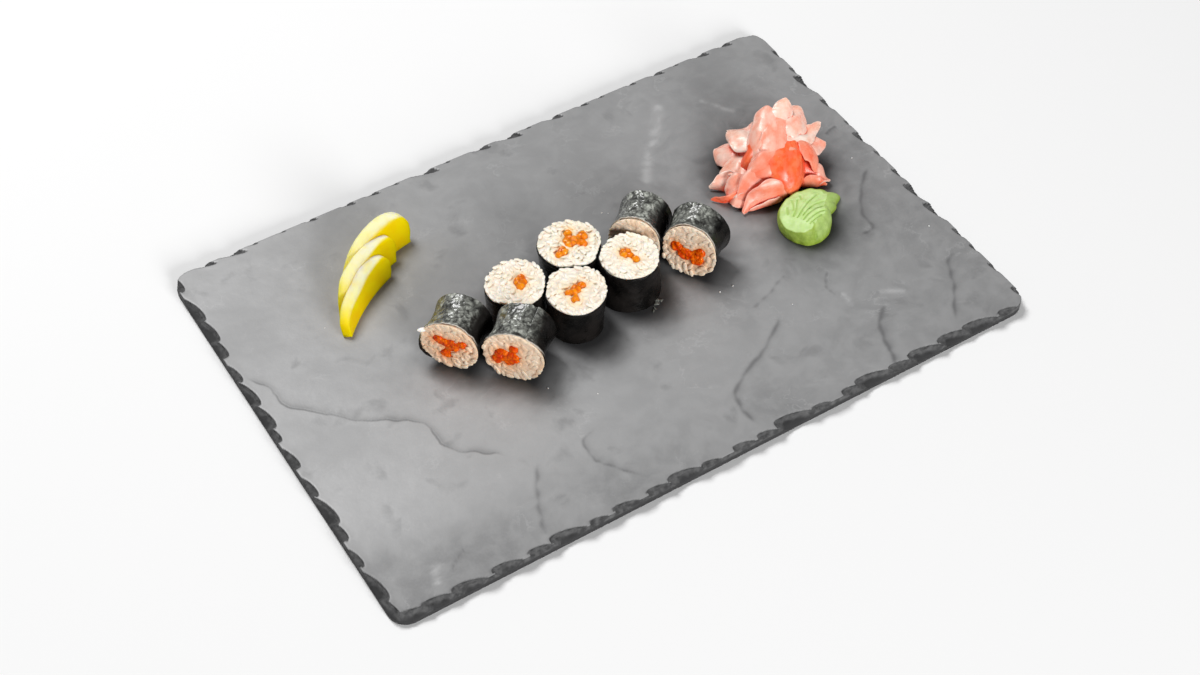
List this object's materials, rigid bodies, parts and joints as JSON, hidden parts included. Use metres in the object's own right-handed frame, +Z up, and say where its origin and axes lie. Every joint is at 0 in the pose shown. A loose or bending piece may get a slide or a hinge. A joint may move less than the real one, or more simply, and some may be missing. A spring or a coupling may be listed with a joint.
{
  "type": "maki sushi board",
  "caption": "Thin maki rolls of rice in seaweed around fish roe, some standing and some lying, served on a dark slate-look board with pickled ginger, a wasabi leaf and yellow pickle.",
  "frame": {"origin": "middle of the board's underside", "axes": "+X along the board's long side, +Y across it, +Z up"},
  "size_m": [0.3, 0.2, 0.0333],
  "materials": {
    "board": "matt slate-look porcelain, cloudy grey with thin dark veins",
    "seaweed": "crinkled, moist, near black with grey sheen",
    "rice": "moist cooked grains, white with a peach tint",
    "roe": "translucent orange beads, wet",
    "ginger": "thin moist pink slices, deeper orange in the folds",
    "wasabi": "soft moulded paste, pale green",
    "pickle": "moist yellow flesh with a pale rind"
  },
  "bodies": {
    "root": {"board": "board", "maki_1_nori": "seaweed", "maki_1_rice": "rice", "maki_1_filling": "roe", "maki_2_nori": "seaweed", "maki_2_rice": "rice", "maki_2_filling": "roe", "maki_3_nori": "seaweed", "maki_3_rice": "rice", "maki_3_filling": "roe", "maki_4_nori": "seaweed", "maki_4_rice": "rice", "maki_4_filling": "roe", "maki_5_nori": "seaweed", "maki_5_rice": "rice", "maki_5_filling": "roe", "maki_6_nori": "seaweed", "maki_6_rice": "rice", "maki_6_filling": "roe", "maki_7_nori": "seaweed", "maki_7_rice": "rice", "maki_7_filling": "roe", "maki_8_nori": "seaweed", "maki_8_rice": "rice", "maki_8_filling": "roe", "ginger": "ginger", "wasabi_leaf": "wasabi", "pickle_slice_1": "pickle", "pickle_slice_2": "pickle", "pickle_slice_3": "pickle"}
  },
  "joints": []
}
